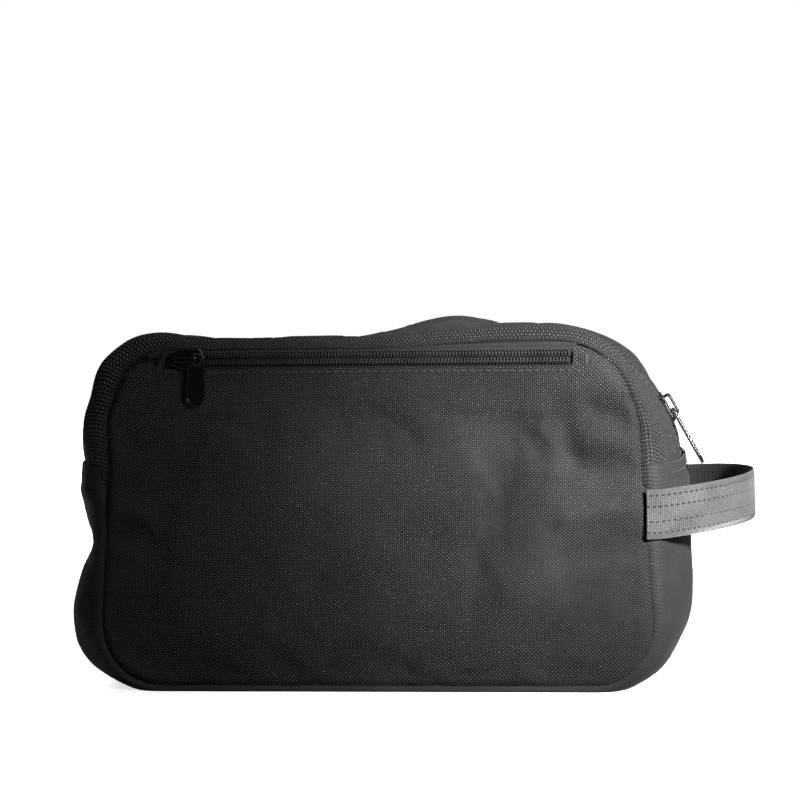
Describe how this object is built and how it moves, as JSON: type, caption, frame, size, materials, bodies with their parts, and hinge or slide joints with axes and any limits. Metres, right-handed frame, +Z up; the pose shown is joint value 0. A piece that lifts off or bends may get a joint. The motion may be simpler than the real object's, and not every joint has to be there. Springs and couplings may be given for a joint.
{
  "type": "shaving kit bag",
  "caption": "Boxy soft bag with a curved zip across the top, a slim zipped front pocket, a webbing loop handle at one end, sliders, pulls and a mouth that opens.",
  "frame": {"origin": "centre of the flat base, on the floor, under the middle of the bag", "axes": "+X to the handle end, -Y to the front panel with the pocket, +Z up"},
  "size_m": [0.2862, 0.1132, 0.145],
  "materials": {
    "canvas": "coated oxford weave, waxy sheen",
    "lining": "smooth plain-woven nylon",
    "board": "matt sheet",
    "binding": "ribbed tape",
    "zip_tape": "close-woven tape",
    "zip_coil": "moulded nylon coil",
    "zip_metal": "gloss black enamel",
    "webbing": "woven webbing with a herringbone edge"
  },
  "bodies": {
    "shell": {"front_panel": "canvas", "back_panel": "canvas", "base_gusset": "canvas", "base_lining": "lining", "base_board": "board", "front_lining": "lining", "back_lining": "lining", "front_seam_binding": "binding", "back_seam_binding": "binding", "front_shoulder_gussets": "canvas", "back_shoulder_gussets": "canvas", "shoulder_linings": "lining", "main_tape_shoulders": "zip_tape", "main_coil_shoulders": "zip_coil", "pocket_bag": "lining", "pocket_tape_upper": "zip_tape", "pocket_tape_lower": "zip_tape", "pocket_coil_upper": "zip_coil", "pocket_coil_lower": "zip_coil", "handle_ends": "webbing"},
    "front_lip": {"front_lip_gusset": "canvas", "front_lip_tape": "zip_tape", "front_lip_coil": "zip_coil", "front_lip_lining": "lining"},
    "back_lip": {"back_lip_gusset": "canvas", "back_lip_tape": "zip_tape", "back_lip_coil": "zip_coil", "back_lip_lining": "lining"},
    "main_slider": {"main_slider": "zip_metal"},
    "main_pull": {"main_pull": "zip_metal"},
    "pocket_slider": {"pocket_slider": "zip_metal"},
    "pocket_pull": {"pocket_pull": "zip_metal"},
    "handle": {"handle_loop": "webbing"}
  },
  "joints": [
    {"name": "front_lip_open", "type": "hinge", "parent": "shell", "child": "front_lip", "pos_m": [0, -0.048, 0.1436], "axis": [1, 0, 0], "range_deg": [0, 60]},
    {"name": "back_lip_open", "type": "hinge", "parent": "shell", "child": "back_lip", "pos_m": [0, 0.048, 0.1436], "axis": [-1, 0, 0], "range_deg": [0, 60]},
    {"name": "main_slider_travel", "type": "hinge", "parent": "shell", "child": "main_slider", "pos_m": [0.0665, 0, 0.0845], "axis": [0, -1, 0], "range_deg": [-12, 52]},
    {"name": "main_pull_swing", "type": "hinge", "parent": "main_slider", "child": "main_pull", "pos_m": [0.12251, 0, 0.11309], "axis": [0, -1, 0], "range_deg": [0, 120]},
    {"name": "pocket_slider_travel", "type": "slide", "parent": "shell", "child": "pocket_slider", "axis": [1, 0, 0], "range_m": [0, 0.15]},
    {"name": "pocket_pull_swing", "type": "hinge", "parent": "pocket_slider", "child": "pocket_pull", "pos_m": [-0.0719, -0.05515, 0.1389], "axis": [0, -1, 0], "range_deg": [-40, 90]},
    {"name": "handle_swing", "type": "hinge", "parent": "shell", "child": "handle", "pos_m": [0.118, 0, 0.074], "axis": [0, -1, 0], "range_deg": [-25, 25]}
  ],
  "couplings": [
    {"joint": "back_lip_open", "follows": "front_lip_open", "ratio": 1}
  ]
}
